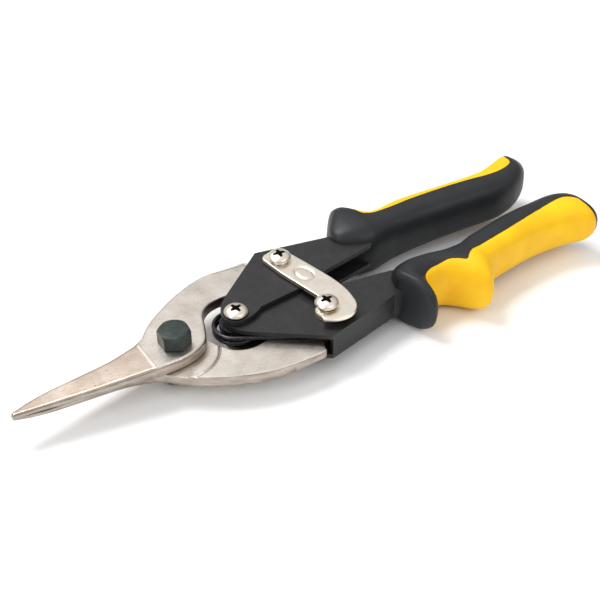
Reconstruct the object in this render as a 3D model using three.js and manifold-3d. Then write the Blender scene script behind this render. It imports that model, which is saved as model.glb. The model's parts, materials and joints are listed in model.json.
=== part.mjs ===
// Compound-leverage aviation snips, straight cut, 250 mm long, lying flat with the handles latched shut.
// Millimetres. X runs along the tool, jaw tips at -X and grips at +X, and Z is up. The origin is on
// the floor, under the main pivot. The two blades and the two handles are the same parts used twice:
// the near one is the far one turned half a turn about the tool's long axis. The grips differ.
import * as THREE from "three";
import { mergeVertices } from "three/addons/utils/BufferGeometryUtils.js";
import Module from "manifold-3d";

const wasm = await Module();
wasm.setup();

// ---- Driving dimensions ----
const TIP_X = -64;
const GRIP_END_X = 186;
const HANDLE_PIVOT_X = 26; // where the two handles are screwed together
const LINK_X = 55.5; // where each handle is screwed to its blade's tail
const LINK_Y = 17;
const MID_HEIGHT = 12.5; // the plane where the two blades slide on each other
const GAP = 0.3; // left between pieces that touch

// Heights below are measured from the mid plane, on the far set.
const BLADE_OUTER = 4.55;
const BLADE_INNER = 0.15; // ground face round the pivot and along the jaw
const TAIL_INNER = -0.55; // the tail is left thicker
const PIVOT_RECESS_RADIUS = 16;
const SHEET = 1.9; // thickness of the handles' pressed steel
const OUTER_FLANGE_LOW = 4.8;
const INNER_FLANGE_LOW = -4.5;
const OUTER_FLANGE_HIGH = OUTER_FLANGE_LOW + SHEET;
const INNER_FLANGE_HIGH = INNER_FLANGE_LOW + SHEET;
const EAR_RADIUS = 5.2; // nose of a handle round the handle pivot

const PIVOT_SHOULDER_RADIUS = 3.9;
const PIVOT_THREAD_RADIUS = 3.2;
const PIVOT_HEAD_ACROSS = 11;
const LINK_CLEARANCE = 0.8; // play of the lower blade on the pivot bolt
const SCREW_RADIUS = 2.5;
const SCREW_BORE = 2.8;
const SCREW_HEAD_RADIUS = 4.6;
const SCREW_HEAD_HEIGHT = 2.4;
const SCREW_NUT_ACROSS = 8;
const SCREW_NUT_HEIGHT = 3.6;

const LATCH_LOW = 7.0;
const LATCH_HIGH = 8.9;
const LATCH_RATIO = 0.6; // latch swing for each degree that the handles open
const NECK_RADIUS = 3.3; // the part of the near screw's collar that the latch hooks round
const NECK_CLEARANCE = 0.3;

const WIRE_RADIUS = 0.85;
const SPRING_RADIUS = 8.7;
const SPRING_RISE = 1.575; // height of the near leg over the mid plane, and of the far leg under it

const GRIP_FRONT_X = 82;
const GRIP_HALF_HEIGHT = 11;
const GRIP_ROUNDING = 2.6;
const GUARD_HALF_HEIGHT = 12.5; // the bulge that keeps the hand back, deep enough to reach the floor
const CORE_END_X = 166; // end of the steel inside a grip

// ---- Materials ----
const finish = (color, roughness, metalness) => new THREE.MeshStandardMaterial({ color, roughness, metalness });
const BLADE_STEEL = finish(0xd8cabb, 0.35, 1);
const NICKEL = finish(0xeadfce, 0.3, 1);
const BLACK_OXIDE = finish(0x46504c, 0.45, 0.8);
const BLACK_PAINT = finish(0x2b2b2d, 0.4, 0.2);
const SPRING_STEEL = finish(0x1f2023, 0.4, 0.8);
const BLACK_GRIP = finish(0x353b40, 0.7, 0);
const YELLOW_GRIP = finish(0xffc400, 0.5, 0);

// ---- Solids ----
function solidOf(geometry) {
  const bare = geometry.index ? geometry.toNonIndexed() : geometry.clone();
  bare.deleteAttribute("normal");
  bare.deleteAttribute("uv");
  const merged = mergeVertices(bare, 1e-4);
  return new wasm.Manifold(
    new wasm.Mesh({
      numProp: 3,
      vertProperties: merged.attributes.position.array,
      triVerts: new Uint32Array(merged.index.array),
    }),
  );
}

function meshOf(name, solid, material) {
  const cut = solid.getMesh();
  const geometry = new THREE.BufferGeometry();
  geometry.setAttribute("position", new THREE.BufferAttribute(cut.vertProperties, 3));
  geometry.setIndex(new THREE.BufferAttribute(cut.triVerts, 1));
  geometry.computeVertexNormals();
  const mesh = new THREE.Mesh(geometry, material);
  mesh.name = name;
  return mesh;
}

// A flat plate of the given outline between two heights.
function plate(outline, low, high, curveSegments = 6) {
  const geometry = new THREE.ExtrudeGeometry(outline, { depth: high - low, bevelEnabled: false, curveSegments });
  geometry.translate(0, 0, low);
  return solidOf(geometry);
}

function disc(x, y, radius, low, high, sides = 24) {
  const geometry = new THREE.CylinderGeometry(radius, radius, high - low, sides);
  geometry.rotateX(Math.PI / 2);
  geometry.translate(x, y, (low + high) / 2);
  return solidOf(geometry);
}

function hexagon(x, y, across, low, high, turn = 0) {
  const geometry = new THREE.CylinderGeometry(across / Math.sqrt(3), across / Math.sqrt(3), high - low, 6);
  geometry.rotateX(Math.PI / 2);
  geometry.rotateZ(turn);
  geometry.translate(x, y, (low + high) / 2);
  return solidOf(geometry);
}

function block(low, high) {
  const size = new THREE.Vector3().subVectors(high, low);
  const centre = new THREE.Vector3().addVectors(low, high).multiplyScalar(0.5);
  const geometry = new THREE.BoxGeometry(size.x, size.y, size.z);
  geometry.translate(centre.x, centre.y, centre.z);
  return solidOf(geometry);
}

// A round piece about a vertical axis, from its half section of [radius, height] pairs.
function turned(x, y, section, sides = 24) {
  const points = section.map(([radius, height]) => new THREE.Vector2(radius, height));
  const geometry = new THREE.LatheGeometry(points, sides);
  geometry.rotateX(Math.PI / 2);
  geometry.translate(x, y, 0);
  return solidOf(geometry);
}

function ring(x, y, inner, outer, low, high) {
  return disc(x, y, outer, low, high).subtract(disc(x, y, inner, low - 1, high + 1));
}

const point = (x, y) => new THREE.Vector2(x, y);

// ---- Blade: jaw, pivot lobe and tail in one forging ----
const TAIL_BOSS_RADIUS = 6.3;
const FACET_START_X = -12.5;
const FACET_START_HEIGHT = 4.2;
const FACET_TIP_HEIGHT = 2.35;

function bladeOutline() {
  const outline = new THREE.Shape();
  outline.moveTo(TIP_X, -1.3);
  outline.lineTo(-16, -9);
  outline.quadraticCurveTo(-12, -9.8, -4, -9.8);
  outline.quadraticCurveTo(8, -9.4, 11.6, -3);
  outline.quadraticCurveTo(13.6, 1, 15.5, 6.5);
  outline.quadraticCurveTo(18.5, 14, 27, 13.8);
  outline.quadraticCurveTo(40, 11.6, LINK_X, LINK_Y - TAIL_BOSS_RADIUS);
  outline.absarc(LINK_X, LINK_Y, TAIL_BOSS_RADIUS, -Math.PI / 2, 0.6 * Math.PI, false);
  outline.lineTo(48.8, 24.3);
  outline.lineTo(47.6, 29.4);
  outline.quadraticCurveTo(47.2, 30.5, 45, 30.7);
  outline.splineThru([point(34, 30.2), point(23.5, 28.8), point(13, 25), point(3, 19.5), point(-4, 14.5), point(-9.5, 8.8)]);
  outline.lineTo(-13, 6.9);
  outline.splineThru([point(-24, 4.9), point(-36, 4.3), point(-50, 3.5), point(-58, 2.2)]);
  outline.lineTo(TIP_X, 0.5);
  outline.closePath();
  return outline;
}

// The wedge that the jaw's outer face is ground away by, from just before the pivot to the tip.
function facetCutter() {
  const side = new THREE.Shape();
  side.moveTo(FACET_START_X, FACET_START_HEIGHT);
  side.lineTo(FACET_START_X, 8);
  side.lineTo(TIP_X - 2, 8);
  side.lineTo(TIP_X - 2, FACET_TIP_HEIGHT);
  side.closePath();
  const geometry = new THREE.ExtrudeGeometry(side, { depth: 60, bevelEnabled: false });
  geometry.rotateX(Math.PI / 2);
  geometry.translate(0, 30, 0);
  return solidOf(geometry);
}

function blade(pivotBore) {
  const recess = disc(0, 0, PIVOT_RECESS_RADIUS, -4, BLADE_INNER, 40);
  const jawRelief = block(new THREE.Vector3(TIP_X - 2, -40, -4), new THREE.Vector3(-2.5, 40, BLADE_INNER));
  return plate(bladeOutline(), TAIL_INNER, BLADE_OUTER)
    .subtract(recess)
    .subtract(jawRelief)
    .subtract(facetCutter())
    .subtract(disc(0, 0, pivotBore, -4, 8))
    .subtract(disc(LINK_X, LINK_Y, SCREW_BORE, -4, 8));
}

// ---- Handle: a channel pressed from sheet, open towards the other handle ----
// The outer edge of the flanges, from the front corner to the end inside the grip, moved out by margin.
const outerEdge = (margin) => [
  point(51, 28.6 + margin),
  point(84, 21.4 + margin),
  point(100, 21.6 + margin),
  point(CORE_END_X + margin, 18.4 + margin),
];

function flangeOutline(margin) {
  const outline = new THREE.Shape();
  outline.moveTo(HANDLE_PIVOT_X, -EAR_RADIUS);
  outline.quadraticCurveTo(31, -EAR_RADIUS, 36, -1.8);
  outline.lineTo(53, -0.3);
  outline.lineTo(69, 3.9 - margin);
  outline.lineTo(92, 7.8 - margin);
  outline.lineTo(102, 12.4 - margin);
  outline.lineTo(CORE_END_X + margin, 10.4 - margin);
  for (const corner of outerEdge(margin).reverse()) outline.lineTo(corner.x, corner.y);
  outline.lineTo(28, 11.2);
  outline.quadraticCurveTo(HANDLE_PIVOT_X - EAR_RADIUS, 6, HANDLE_PIVOT_X - EAR_RADIUS, 0);
  outline.absarc(HANDLE_PIVOT_X, 0, EAR_RADIUS, Math.PI, 1.5 * Math.PI, false);
  return outline;
}

function webOutline(margin) {
  const outside = outerEdge(margin);
  const inside = outerEdge(-SHEET - margin).reverse();
  inside[0].x = CORE_END_X + margin;
  return new THREE.Shape([...outside, ...inside]);
}

function channel(margin) {
  const outer = plate(flangeOutline(margin), OUTER_FLANGE_LOW - margin, OUTER_FLANGE_HIGH + margin);
  const inner = plate(flangeOutline(margin), INNER_FLANGE_LOW - margin, INNER_FLANGE_HIGH + margin);
  const web = plate(webOutline(margin), INNER_FLANGE_LOW - margin, OUTER_FLANGE_HIGH + margin);
  return outer.add(inner).add(web);
}

function handleChannel() {
  return channel(0)
    .subtract(disc(HANDLE_PIVOT_X, 0, SCREW_BORE, -8, 8))
    .subtract(disc(LINK_X, LINK_Y, SCREW_BORE, -8, 8));
}

// ---- Grip: a black body over the channel, with a coloured pad on its outer side ----
// Both have a flange at the front. Behind it the near grip rises to a crest and its palm lies closer
// in, and the far grip is plain and ends a little sooner.
const NEAR_GRIP = {
  endX: GRIP_END_X,
  palmShift: -1.6,
  shoulder: [point(110, 29), point(115, 35.6), point(119, 38), point(123, 35.4)],
};
const FAR_GRIP = {
  endX: GRIP_END_X - 3.5,
  palmShift: 0.8,
  shoulder: [point(110, 26.9), point(119, 28.2)],
};

function gripOutline({ endX, palmShift, shoulder }) {
  const palm = (x, y) => point(x, y + palmShift);
  const outline = new THREE.Shape();
  outline.moveTo(GRIP_FRONT_X + 1.5, 10);
  outline.quadraticCurveTo(GRIP_FRONT_X - 0.5, 17, GRIP_FRONT_X + 1, 25);
  outline.splineThru([point(87, 33), point(91.5, 36), point(96, 33), point(100, 27.6), point(104, 25.6)]);
  outline.splineThru([...shoulder, point(129, 27.4)]);
  outline.splineThru([palm(142, 25.6), palm(157, 24.4), palm(168, 25.4), palm(endX - 9, 28.6)]);
  outline.quadraticCurveTo(endX - 3, 30.6 + palmShift, endX - 1, 26.5 + palmShift);
  outline.quadraticCurveTo(endX + 1, 20 + palmShift, endX - 6, 12 + palmShift);
  outline.splineThru([palm(endX - 13, 7.8), palm(163, 6), palm(150, 6.4), point(134, 8), point(118, 9.2), point(102, 7.8)]);
  outline.splineThru([point(93, 6.2), point(87, 7), point(GRIP_FRONT_X + 1.5, 10)]);
  return outline;
}

// The part of the grip that the pad takes up, grown by margin.
function padRegion({ endX }, margin) {
  const padEnd = endX - 4.5 + margin;
  const outline = new THREE.Shape();
  outline.moveTo(98 - margin, 45);
  outline.lineTo(98 - margin, 24);
  outline.quadraticCurveTo(98 - margin, 18.6 - margin, 105, 18.6 - margin);
  outline.quadraticCurveTo(112, 19 - margin, 115.5, 25 - margin);
  outline.quadraticCurveTo(118, 21.4 - margin, 125, 21 - margin);
  outline.splineThru([point(142, 18.8 - margin), point(156, 16.6 - margin), point(166, 16 - margin)]);
  outline.splineThru([point(endX - 12, 17.2 - margin)]);
  outline.quadraticCurveTo(padEnd, 19 - margin, padEnd, 25);
  outline.lineTo(padEnd, 45);
  outline.closePath();
  return outline;
}

// The deepest part, just behind the front edge.
function guardOutline() {
  const outline = new THREE.Shape();
  outline.moveTo(GRIP_FRONT_X + 3, 11);
  outline.quadraticCurveTo(GRIP_FRONT_X + 1, 17, GRIP_FRONT_X + 3, 25);
  outline.splineThru([point(87.5, 30), point(92, 33.6), point(97, 30), point(101, 26), point(106, 24)]);
  outline.quadraticCurveTo(112, 23, 114, 17);
  outline.quadraticCurveTo(113, 12, 102, 10);
  outline.quadraticCurveTo(90, 8.5, GRIP_FRONT_X + 3, 11);
  return outline;
}

// An upright block of the given outline, centred on the mid plane, with its edges rounded off.
function roundedBlock(outline, halfHeight, rounding, curveSegments) {
  const geometry = new THREE.ExtrudeGeometry(outline, {
    depth: 2 * (halfHeight - rounding),
    curveSegments,
    bevelThickness: rounding,
    bevelSize: rounding,
    bevelOffset: -rounding,
    bevelSegments: 2,
  });
  geometry.translate(0, 0, rounding - halfHeight);
  return solidOf(geometry);
}

function gripBlank(grip) {
  const guard = roundedBlock(guardOutline(), GUARD_HALF_HEIGHT, GRIP_ROUNDING, 3);
  return roundedBlock(gripOutline(grip), GRIP_HALF_HEIGHT, GRIP_ROUNDING, 3).add(guard);
}

// The channel with its hollow filled in.
function filledChannel(margin) {
  return plate(flangeOutline(margin), INNER_FLANGE_LOW - margin, OUTER_FLANGE_HIGH + margin);
}

// The body also fills the hollow of the channel.
function gripBody(grip) {
  const padSpace = plate(padRegion(grip, GAP), -20, 20).subtract(filledChannel(GAP));
  return gripBlank(grip).subtract(padSpace).subtract(channel(GAP));
}

function gripPad(grip) {
  return gripBlank(grip).intersect(plate(padRegion(grip, 0), -20, 20)).subtract(filledChannel(GAP));
}

// ---- Latch: swings on the far link screw and hooks round the near one ----
function latchOutline() {
  const outline = new THREE.Shape();
  outline.moveTo(50.2, 20.2);
  outline.quadraticCurveTo(50.2, 23.6, LINK_X, 23.6);
  outline.quadraticCurveTo(60.4, 23.4, 61.6, 18);
  outline.splineThru([point(64.6, 6), point(67, -5), point(67.6, -13), point(66.8, -19.5)]);
  outline.quadraticCurveTo(65.4, -25.6, 59.5, -26);
  outline.quadraticCurveTo(54, -26, 50.6, -22.6);
  outline.lineTo(50.4, -21);
  outline.lineTo(56.4, -9.4);
  outline.splineThru([point(53.8, 0), point(51.6, 10)]);
  outline.closePath();
  return outline;
}

const turn = (v, angle) => v.clone().rotateAround(point(0, 0), angle);

// Where the near link screw is, in the latch's own frame, once the handles have opened by an angle:
// the far handle turns about the handle pivot, and the latch turns further about the far link screw.
function neckInLatch(opening) {
  const farLink = point(LINK_X, LINK_Y);
  const pivot = point(HANDLE_PIVOT_X, 0);
  const nearLink = point(LINK_X, -LINK_Y);
  const inHandle = turn(nearLink.clone().sub(pivot), -opening).add(pivot);
  return turn(inHandle.sub(farLink), -opening * LATCH_RATIO).add(farLink);
}

function latchPlate() {
  let solid = plate(latchOutline(), LATCH_LOW, LATCH_HIGH);
  const notchSteps = 10;
  const lastOpening = THREE.MathUtils.degToRad(18);
  for (let i = 0; i <= notchSteps; i++) {
    const neck = neckInLatch((lastOpening * i) / notchSteps);
    solid = solid.subtract(disc(neck.x, neck.y, NECK_RADIUS + NECK_CLEARANCE, LATCH_LOW - 1, LATCH_HIGH + 1));
  }
  return solid.subtract(disc(LINK_X, LINK_Y, SCREW_BORE, LATCH_LOW - 1, LATCH_HIGH + 1));
}

// ---- Fasteners ----
// A pan head screw with a cross recess, its head's underside at seat and its end at tip.
function panScrew(x, y, seat, tip) {
  const top = seat + SCREW_HEAD_HEIGHT;
  const slot = 0.9;
  const reach = 4.2;
  const depth = 1.3;
  const screw = turned(x, y, [
    [0, tip],
    [SCREW_RADIUS - 0.4, tip],
    [SCREW_RADIUS, tip + 0.5],
    [SCREW_RADIUS, seat],
    [SCREW_HEAD_RADIUS - 0.3, seat],
    [SCREW_HEAD_RADIUS, seat + 0.5],
    [SCREW_HEAD_RADIUS - 0.25, seat + 1.3],
    [SCREW_HEAD_RADIUS - 1.3, top - 0.25],
    [0, top],
  ]);
  const along = new THREE.Vector3(reach / 2, slot / 2, 2);
  const across = new THREE.Vector3(slot / 2, reach / 2, 2);
  const centre = new THREE.Vector3(x, y, top - depth + 2);
  return screw
    .subtract(block(centre.clone().sub(along), centre.clone().add(along)))
    .subtract(block(centre.clone().sub(across), centre.clone().add(across)));
}

function nut(x, y, across, bore, low, high) {
  return hexagon(x, y, across, low, high).subtract(disc(x, y, bore, low - 1, high + 1));
}

// ---- Torsion spring: one leg in each handle, coiled round the handle pivot ----
const LEG_END_X = 50;
const LEG_END_Y = 23.4;

function springPath() {
  const pivot = point(HANDLE_PIVOT_X, 0);
  const legEnd = point(LEG_END_X, LEG_END_Y);
  const toLeg = legEnd.clone().sub(pivot);
  const tangentAngle = toLeg.angle() + Math.acos(SPRING_RADIUS / toLeg.length());
  const sweep = 4 * Math.PI - 2 * tangentAngle;
  const turnSteps = 34;
  const points = [new THREE.Vector3(LEG_END_X, LEG_END_Y, -SPRING_RISE)];
  for (let i = 0; i <= turnSteps; i++) {
    const share = i / turnSteps;
    const angle = tangentAngle + sweep * share;
    const x = pivot.x + SPRING_RADIUS * Math.cos(angle);
    const y = SPRING_RADIUS * Math.sin(angle);
    points.push(new THREE.Vector3(x, y, SPRING_RISE * (2 * share - 1)));
  }
  points.push(new THREE.Vector3(LEG_END_X, -LEG_END_Y, SPRING_RISE));
  return new THREE.CatmullRomCurve3(points, false, "centripetal");
}

function torsionSpring() {
  const section = new THREE.Shape();
  section.absarc(0, 0, WIRE_RADIUS, 0, 2 * Math.PI, false);
  const geometry = new THREE.ExtrudeGeometry(section, { steps: 64, curveSegments: 4, extrudePath: springPath() });
  return solidOf(geometry);
}

// ---- Assembly ----
// One side of the tool, as it sits on the far side: blade, handle and grip.
function side(prefix, bladeName, pivotBore, grip) {
  const group = new THREE.Group();
  group.add(meshOf(bladeName, blade(pivotBore), BLADE_STEEL));
  group.add(meshOf(prefix + "_handle_channel", handleChannel(), BLACK_PAINT));
  group.add(meshOf(prefix + "_grip_body", gripBody(grip), BLACK_GRIP));
  group.add(meshOf(prefix + "_grip_pad", gripPad(grip), YELLOW_GRIP));
  const spacerLow = INNER_FLANGE_HIGH + 0.25;
  const spacerHigh = TAIL_INNER - 0.25;
  group.add(meshOf(prefix + "_blade_spacer", ring(LINK_X, LINK_Y, SCREW_BORE, 5, spacerLow, spacerHigh), NICKEL));
  return group;
}

const group = new THREE.Group();
const farSide = side("far", "upper_blade", PIVOT_SHOULDER_RADIUS + 0.3, FAR_GRIP);
farSide.position.z = MID_HEIGHT;
const nearSide = side("near", "lower_blade", PIVOT_SHOULDER_RADIUS + LINK_CLEARANCE, NEAR_GRIP);
nearSide.position.z = MID_HEIGHT;
nearSide.rotation.x = Math.PI;
group.add(farSide, nearSide);

const hardware = new THREE.Group();
hardware.position.z = MID_HEIGHT;
group.add(hardware);

// Main pivot: hex bolt, lock washer and nut through both blades.
const headLow = BLADE_OUTER + 0.25;
const headHigh = 10.9;
const headTurn = THREE.MathUtils.degToRad(48);
const pivotShank = turned(0, 0, [
  [0, -MID_HEIGHT],
  [PIVOT_THREAD_RADIUS - 0.5, -MID_HEIGHT],
  [PIVOT_THREAD_RADIUS, -MID_HEIGHT + 0.6],
  [PIVOT_THREAD_RADIUS, -BLADE_OUTER],
  [PIVOT_SHOULDER_RADIUS, -BLADE_OUTER],
  [PIVOT_SHOULDER_RADIUS, headLow + 1],
  [0, headLow + 1],
]);
const headDome = turned(0, 0, [
  [0, headLow],
  [6.5, headLow],
  [6.5, headHigh - 0.9],
  [5.2, headHigh],
  [0, headHigh],
]);
const pivotHead = hexagon(0, 0, PIVOT_HEAD_ACROSS, headLow, headHigh, headTurn).intersect(headDome);
hardware.add(meshOf("pivot_bolt", pivotShank.add(pivotHead), BLACK_OXIDE));
const washerHigh = -BLADE_OUTER - GAP;
const washerLow = washerHigh - 1.3;
hardware.add(meshOf("pivot_lock_washer", ring(0, 0, 3.5, 6, washerLow, washerHigh), NICKEL));
const pivotNutHigh = washerLow - 0.25;
const pivotNut = nut(0, 0, PIVOT_HEAD_ACROSS, 3.5, pivotNutHigh - 5, pivotNutHigh);
hardware.add(meshOf("pivot_nut", pivotNut, BLACK_OXIDE));

// Handle pivot: screw, bushing inside the spring, and nut.
const pivotSeat = OUTER_FLANGE_HIGH + GAP;
const nearNutHigh = -OUTER_FLANGE_HIGH - GAP;
hardware.add(meshOf("handle_pivot_screw", panScrew(HANDLE_PIVOT_X, 0, pivotSeat, -11.4), NICKEL));
const bushing = ring(HANDLE_PIVOT_X, 0, SCREW_BORE, 6.6, -2.3, 2.3);
hardware.add(meshOf("handle_pivot_bushing", bushing, SPRING_STEEL));
const pivotScrewNut = nut(HANDLE_PIVOT_X, 0, SCREW_NUT_ACROSS, SCREW_BORE, nearNutHigh - SCREW_NUT_HEIGHT, nearNutHigh);
hardware.add(meshOf("handle_pivot_nut", pivotScrewNut, NICKEL));
hardware.add(meshOf("torsion_spring", torsionSpring(), SPRING_STEEL));

// Far link: screw, latch, washer and nut.
const latchWasherLow = LATCH_HIGH + 0.25;
const latchWasherHigh = latchWasherLow + 0.6;
const linkSeat = latchWasherHigh + 0.25;
hardware.add(meshOf("far_link_screw", panScrew(LINK_X, LINK_Y, linkSeat, -9.2), NICKEL));
hardware.add(meshOf("latch_plate", latchPlate(), NICKEL));
const latchWasher = ring(LINK_X, LINK_Y, SCREW_BORE, 3.7, latchWasherLow, latchWasherHigh);
hardware.add(meshOf("latch_washer", latchWasher, NICKEL));
const farNutHigh = INNER_FLANGE_LOW - GAP;
const farNut = nut(LINK_X, LINK_Y, SCREW_NUT_ACROSS, SCREW_BORE, farNutHigh - SCREW_NUT_HEIGHT, farNutHigh);
hardware.add(meshOf("far_link_nut", farNut, NICKEL));

// Near link: screw, the collar that the latch hooks round, and nut.
hardware.add(meshOf("near_link_screw", panScrew(LINK_X, -LINK_Y, linkSeat, -11.4), NICKEL));
const collarFoot = -INNER_FLANGE_LOW + 0.25;
const collar = turned(LINK_X, -LINK_Y, [
  [0, collarFoot],
  [4.2, collarFoot],
  [4.2, LATCH_LOW - GAP],
  [NECK_RADIUS, LATCH_LOW - GAP],
  [NECK_RADIUS, linkSeat - 0.25],
  [0, linkSeat - 0.25],
]).subtract(disc(LINK_X, -LINK_Y, SCREW_BORE, 0, 12));
hardware.add(meshOf("latch_catch_collar", collar, NICKEL));
const nearNut = nut(LINK_X, -LINK_Y, SCREW_NUT_ACROSS, SCREW_BORE, nearNutHigh - SCREW_NUT_HEIGHT, nearNutHigh);
hardware.add(meshOf("near_link_nut", nearNut, NICKEL));

export default group;
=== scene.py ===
"""Aviation snips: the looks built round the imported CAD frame. Metres, in the part's own frame.

Dimensions in the shape functions are in millimetres, measured from the plane where the two blades
slide on each other. Each side's blade and grip are drawn as on the far side of the tool, and the near
ones are then turned half a turn about its long axis: the blades are one shape, and the grips differ.
"""

import json
import math

import bmesh
import bpy
import numpy as np
from mathutils import Matrix, Vector
from mathutils.geometry import delaunay_2d_cdt


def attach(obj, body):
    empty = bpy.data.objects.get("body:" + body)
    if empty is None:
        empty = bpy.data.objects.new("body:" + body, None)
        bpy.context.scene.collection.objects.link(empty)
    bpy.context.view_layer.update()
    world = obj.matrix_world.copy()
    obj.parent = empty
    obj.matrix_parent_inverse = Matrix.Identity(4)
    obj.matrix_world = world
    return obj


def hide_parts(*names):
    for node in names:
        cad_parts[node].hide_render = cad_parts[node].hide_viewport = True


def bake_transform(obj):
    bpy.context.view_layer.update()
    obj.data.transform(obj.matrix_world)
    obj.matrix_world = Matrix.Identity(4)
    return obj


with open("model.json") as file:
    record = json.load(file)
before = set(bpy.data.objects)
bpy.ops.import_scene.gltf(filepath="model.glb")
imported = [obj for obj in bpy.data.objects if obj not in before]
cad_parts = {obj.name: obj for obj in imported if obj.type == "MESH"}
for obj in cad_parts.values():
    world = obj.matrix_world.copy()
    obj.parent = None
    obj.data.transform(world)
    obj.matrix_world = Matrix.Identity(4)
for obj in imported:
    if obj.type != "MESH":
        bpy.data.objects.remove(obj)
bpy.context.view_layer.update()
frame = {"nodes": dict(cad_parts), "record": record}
nodes = frame["nodes"]

MM = 0.001
MID = 12.5
PIVOT = (26.0, 0.0)
LINK = (55.5, 17.0)
FAR = Matrix.Translation((0, 0, MID))
NEAR = FAR @ Matrix.Rotation(math.pi, 4, "X")


# ---------------------------------------------------------------- outlines
def quad(start, control, end, count=10):
    t = np.linspace(0, 1, count + 1)[1:, None]
    a, b, c = (np.array(p, float) for p in (start, control, end))
    return [tuple(p) for p in (1 - t) ** 2 * a + 2 * t * (1 - t) * b + t**2 * c]


def spline(points, count=8):
    """Catmull-Rom through the points, without the first one."""
    p = [np.array(q, float) for q in points]
    p = [2 * p[0] - p[1]] + p + [2 * p[-1] - p[-2]]
    out = []
    for i in range(1, len(p) - 2):
        for t in np.linspace(0, 1, count + 1)[1:]:
            a, b, c, d = p[i - 1 : i + 3]
            out.append(
                tuple(
                    b + 0.5 * (c - a) * t
                    + 0.5 * (2 * a - 5 * b + 4 * c - d) * t**2
                    + 0.5 * (3 * b - a - 3 * c + d) * t**3
                )
            )
    return out


def arc(centre, radius, first, last, count=24):
    angles = np.radians(np.linspace(first, last, count + 1))
    return [(centre[0] + radius * math.cos(a), centre[1] + radius * math.sin(a)) for a in angles]


def circle(centre, radius, count=48):
    return arc(centre, radius, 0, 360, count)[:-1]


def resample(outline, step):
    """The closed outline with points no further than step apart, corners kept."""
    out = []
    for a, b in zip(outline, outline[1:] + outline[:1]):
        length = math.dist(a, b)
        if length < 1e-3:
            continue
        count = max(1, round(length / step))
        out += [(a[0] + (b[0] - a[0]) * k / count, a[1] + (b[1] - a[1]) * k / count) for k in range(count)]
    return out


def blade_outline():
    out = [(-64, -1.3), (-16, -9.0)]
    out += quad(out[-1], (-12, -9.8), (-4, -9.8))
    out += quad(out[-1], (8, -9.4), (11.6, -3))
    out += quad(out[-1], (13.6, 1), (15.5, 6.5))
    out += quad(out[-1], (18.5, 14), (27, 13.8))
    out += quad(out[-1], (40, 11.6), (LINK[0], LINK[1] - 6.3))
    out += arc(LINK, 6.3, -90, 108)[1:]
    out += [(48.8, 24.3), (47.6, 29.4)]
    out += quad(out[-1], (47.2, 30.5), (45, 30.7))
    out += spline([out[-1], (34, 30.2), (23.5, 28.8), (13, 25), (3, 19.5), (-4, 14.5), (-9.5, 8.8)])
    out += [(-13, 6.9)]
    out += spline([out[-1], (-24, 4.9), (-36, 4.3), (-50, 3.5), (-58, 2.2)])
    out += [(-64, 0.5)]
    return out


def latch_outline():
    out = [(50.2, 20.2)]
    out += quad(out[-1], (50.2, 23.6), (55.5, 23.6))
    out += quad(out[-1], (60.4, 23.4), (61.6, 18))
    out += spline([out[-1], (64.6, 6), (67, -5), (67.6, -13), (66.8, -19.5)])
    out += quad(out[-1], (65.4, -25.6), (59.5, -26))
    out += quad(out[-1], (54, -26), (50.6, -22.6))
    out += [(50.4, -21.0)]
    out += [(53.0, -20.0)]
    out += arc((LINK[0], -LINK[1]), 3.6, 230, 380, 16)
    out += arc((54.9, -13.9), 3.6, 20, 75, 6)
    out += [(56.0, -9.6)]
    out += spline([out[-1], (53.8, 0), (51.6, 10)])
    return out


# ---------------------------------------------------------------- meshes
def add_object(name, vertices, faces, place=FAR, smooth=35):
    mesh = bpy.data.meshes.new(name)
    points = [Vector(v) for v in vertices]
    mesh.from_pydata([(place @ p) * MM for p in points], [], faces)
    mesh.validate()
    bm = bmesh.new()
    bm.from_mesh(mesh)
    bmesh.ops.remove_doubles(bm, verts=bm.verts, dist=1e-7)
    bmesh.ops.recalc_face_normals(bm, faces=bm.faces)
    bm.to_mesh(mesh)
    bm.free()
    mesh.shade_smooth()
    mesh.set_sharp_from_angle(angle=math.radians(smooth))
    obj = bpy.data.objects.new(name, mesh)
    bpy.context.scene.collection.objects.link(obj)
    return obj


def edge_distance(points, loops):
    """For each point, its distance to the nearest loop edge and that edge's nearest point."""
    p = np.asarray(points, float)
    best = np.full(len(p), 1e9)
    near = np.zeros((len(p), 2))
    which = np.zeros(len(p), int)
    for index, loop in enumerate(loops):
        a = np.array(loop, float)
        b = np.roll(a, -1, axis=0)
        for s, e in zip(a, b):
            d = e - s
            t = np.clip(((p - s) @ d) / max(d @ d, 1e-12), 0, 1)
            q = s + t[:, None] * d
            dist = np.hypot(*(p - q).T)
            hit = dist < best
            best[hit], near[hit], which[hit] = dist[hit], q[hit], index
    return best, near, which


def inside(points, loop):
    p = np.asarray(points, float)
    result = np.zeros(len(p), bool)
    for (x1, y1), (x2, y2) in zip(loop, loop[1:] + loop[:1]):
        crosses = (y1 > p[:, 1]) != (y2 > p[:, 1])
        with np.errstate(divide="ignore", invalid="ignore"):
            at = (x2 - x1) * (p[:, 1] - y1) / (y2 - y1) + x1
        result ^= crosses & (p[:, 0] < at)
    return result


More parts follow.
